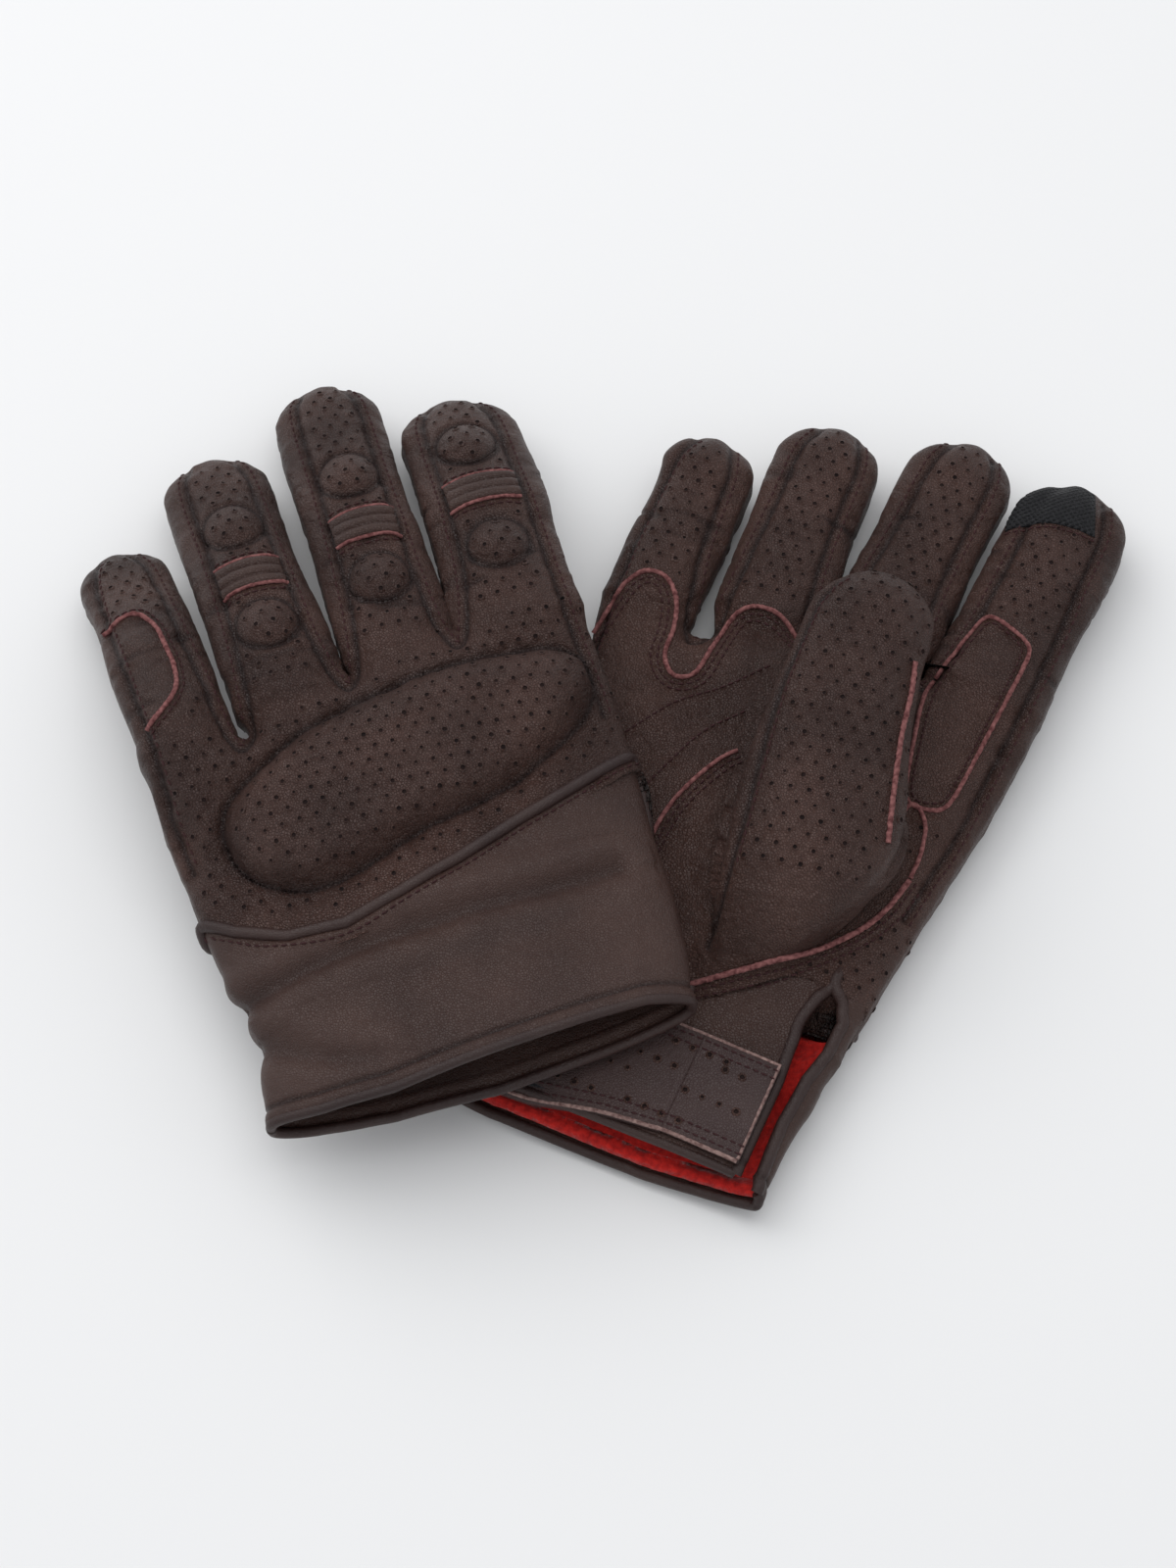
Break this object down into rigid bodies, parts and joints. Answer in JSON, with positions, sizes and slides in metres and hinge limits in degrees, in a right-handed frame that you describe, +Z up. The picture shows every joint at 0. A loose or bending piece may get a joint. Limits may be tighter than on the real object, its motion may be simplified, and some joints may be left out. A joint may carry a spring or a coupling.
{
  "type": "leather driving gloves",
  "caption": "Pair of dark brown perforated leather gloves with moulded knuckle guards, padded fingers, short cuffs and strap closures; one lies over the other.",
  "frame": {"origin": "middle of the base of the pair as it lies on a table", "axes": "+Z up, +Y away from the cuffs towards the fingertips, +X to the right glove"},
  "size_m": [0.2702, 0.2332, 0.047],
  "materials": {
    "leather": "soft dark brown leather, perforated on the hand and fingers",
    "guard_leather": "dark brown leather moulded over a hard knuckle guard",
    "pad_leather": "dark brown leather raised over round pads",
    "piping": "rolled leather binding",
    "patch_leather": "smooth leather with raw burgundy edges",
    "lining": "brushed red lining",
    "touch": "black woven conductive cloth",
    "hook": "black hook tape",
    "loop": "black loop tape"
  },
  "bodies": {
    "right_hand": {"right_hand_back": "leather", "right_hand_palm": "leather", "right_knuckle_guard": "guard_leather", "right_cuff": "leather", "right_piping": "piping", "right_lining": "lining", "right_palm_patches": "patch_leather", "right_strap_anchor": "leather", "right_loop_patch": "loop"},
    "right_little_base_part": {"right_little_panel": "leather", "right_little_base": "leather"},
    "right_little_tip_part": {"right_little_tip": "leather"},
    "right_ring_base_part": {"right_ring_base": "leather", "right_ring_base_pad": "pad_leather", "right_ring_ribs": "leather"},
    "right_ring_tip_part": {"right_ring_tip": "leather", "right_ring_tip_pad": "pad_leather"},
    "right_middle_base_part": {"right_middle_base": "leather", "right_middle_base_pad": "pad_leather", "right_middle_ribs": "leather"},
    "right_middle_tip_part": {"right_middle_tip": "leather", "right_middle_tip_pad": "pad_leather"},
    "right_index_base_part": {"right_index_base": "leather", "right_index_base_pad": "pad_leather", "right_index_ribs": "leather"},
    "right_index_tip_part": {"right_touch_tip": "touch", "right_index_tip": "leather", "right_index_tip_pad": "pad_leather"},
    "right_thumb_part": {"right_thumb": "leather"},
    "right_strap_part": {"right_strap_tab": "leather", "right_hook_patch": "hook"},
    "left_hand": {"left_hand_back": "leather", "left_hand_palm": "leather", "left_knuckle_guard": "guard_leather", "left_cuff": "leather", "left_piping": "piping", "left_lining": "lining", "left_palm_patches": "patch_leather", "left_strap": "leather", "left_strap_fastener": "loop"},
    "left_little_base_part": {"left_little_panel": "leather", "left_little_base": "leather"},
    "left_little_tip_part": {"left_little_tip": "leather"},
    "left_ring_base_part": {"left_ring_base": "leather", "left_ring_base_pad": "pad_leather", "left_ring_ribs": "leather"},
    "left_ring_tip_part": {"left_ring_tip": "leather", "left_ring_tip_pad": "pad_leather"},
    "left_middle_base_part": {"left_middle_base": "leather", "left_middle_base_pad": "pad_leather", "left_middle_ribs": "leather"},
    "left_middle_tip_part": {"left_middle_tip": "leather", "left_middle_tip_pad": "pad_leather"},
    "left_index_base_part": {"left_index_base": "leather", "left_index_base_pad": "pad_leather", "left_index_ribs": "leather"},
    "left_index_tip_part": {"left_touch_tip": "touch", "left_index_tip": "leather", "left_index_tip_pad": "pad_leather"},
    "left_thumb_part": {"left_thumb": "leather"}
  },
  "joints": [
    {"name": "right_little_knuckle", "type": "hinge", "parent": "right_hand", "child": "right_little_base_part", "pos_m": [0.01549, 0.05663, 0.013], "axis": [0.9426, -0.3338, 0], "range_deg": [0, 65]},
    {"name": "right_little_middle", "type": "hinge", "parent": "right_little_base_part", "child": "right_little_tip_part", "pos_m": [0.02217, 0.07549, 0.013], "axis": [0.9426, -0.3338, 0], "range_deg": [0, 70]},
    {"name": "right_ring_knuckle", "type": "hinge", "parent": "right_hand", "child": "right_ring_base_part", "pos_m": [0.04473, 0.05347, 0.013], "axis": [0.9304, -0.3665, 0], "range_deg": [0, 65]},
    {"name": "right_ring_middle", "type": "hinge", "parent": "right_ring_base_part", "child": "right_ring_tip_part", "pos_m": [0.05352, 0.0758, 0.013], "axis": [0.9304, -0.3665, 0], "range_deg": [0, 70]},
    {"name": "right_middle_knuckle", "type": "hinge", "parent": "right_hand", "child": "right_middle_base_part", "pos_m": [0.07417, 0.04583, 0.013], "axis": [0.8988, -0.4384, 0], "range_deg": [0, 65]},
    {"name": "right_middle_middle", "type": "hinge", "parent": "right_middle_base_part", "child": "right_middle_tip_part", "pos_m": [0.086, 0.0701, 0.013], "axis": [0.8988, -0.4384, 0], "range_deg": [0, 70]},
    {"name": "right_index_knuckle", "type": "hinge", "parent": "right_hand", "child": "right_index_base_part", "pos_m": [0.10114, 0.02945, 0.013], "axis": [0.9026, -0.4305, 0], "range_deg": [0, 65]},
    {"name": "right_index_middle", "type": "hinge", "parent": "right_index_base_part", "child": "right_index_tip_part", "pos_m": [0.11319, 0.05472, 0.013], "axis": [0.9026, -0.4305, 0], "range_deg": [0, 70]},
    {"name": "right_thumb_lift", "type": "hinge", "parent": "right_hand", "child": "right_thumb_part", "pos_m": [0.04937, -0.03617, 0.0376], "axis": [0.9763, -0.2164, 0], "range_deg": [0, 60]},
    {"name": "right_strap_opening", "type": "hinge", "parent": "right_hand", "child": "right_strap_part", "pos_m": [0.01832, -0.08747, 0.0189], "axis": [-0.4067, -0.9135, 0], "range_deg": [0, 80]},
    {"name": "left_little_knuckle", "type": "hinge", "parent": "left_hand", "child": "left_little_base_part", "pos_m": [-0.10505, 0.00469, 0.031], "axis": [-0.9336, -0.3584, 0], "range_deg": [0, 65]},
    {"name": "left_little_middle", "type": "hinge", "parent": "left_little_base_part", "child": "left_little_tip_part", "pos_m": [-0.11401, 0.02803, 0.02477], "axis": [-0.9336, -0.3584, 0], "range_deg": [0, 70]},
    {"name": "left_ring_knuckle", "type": "hinge", "parent": "left_hand", "child": "left_ring_base_part", "pos_m": [-0.08081, 0.01747, 0.031], "axis": [-0.9548, -0.2974, 0], "range_deg": [0, 65]},
    {"name": "left_ring_middle", "type": "hinge", "parent": "left_ring_base_part", "child": "left_ring_tip_part", "pos_m": [-0.08854, 0.04229, 0.02595], "axis": [-0.9548, -0.2974, 0], "range_deg": [0, 70]},
    {"name": "left_middle_knuckle", "type": "hinge", "parent": "left_hand", "child": "left_middle_base_part", "pos_m": [-0.05364, 0.03093, 0.031], "axis": [-0.9681, -0.2504, 0], "range_deg": [0, 65]},
    {"name": "left_middle_middle", "type": "hinge", "parent": "left_middle_base_part", "child": "left_middle_tip_part", "pos_m": [-0.0604, 0.05706, 0.02575], "axis": [-0.9681, -0.2504, 0], "range_deg": [0, 70]},
    {"name": "left_index_knuckle", "type": "hinge", "parent": "left_hand", "child": "left_index_base_part", "pos_m": [-0.02411, 0.04082, 0.031], "axis": [-0.9724, -0.2334, 0], "range_deg": [0, 65]},
    {"name": "left_index_middle", "type": "hinge", "parent": "left_index_base_part", "child": "left_index_tip_part", "pos_m": [-0.03064, 0.06805, 0.02556], "axis": [-0.9724, -0.2334, 0], "range_deg": [0, 70]},
    {"name": "left_thumb_swing", "type": "hinge", "parent": "left_hand", "child": "left_thumb_part", "pos_m": [-0.01893, -0.00827, 0.0172], "axis": [0, 0, 1], "range_deg": [-8, 20]},
    {"name": "left_glove_lift", "type": "slide", "parent": "right_hand", "child": "left_hand", "axis": [0, 0, 1], "range_m": [0, 0.25]}
  ]
}
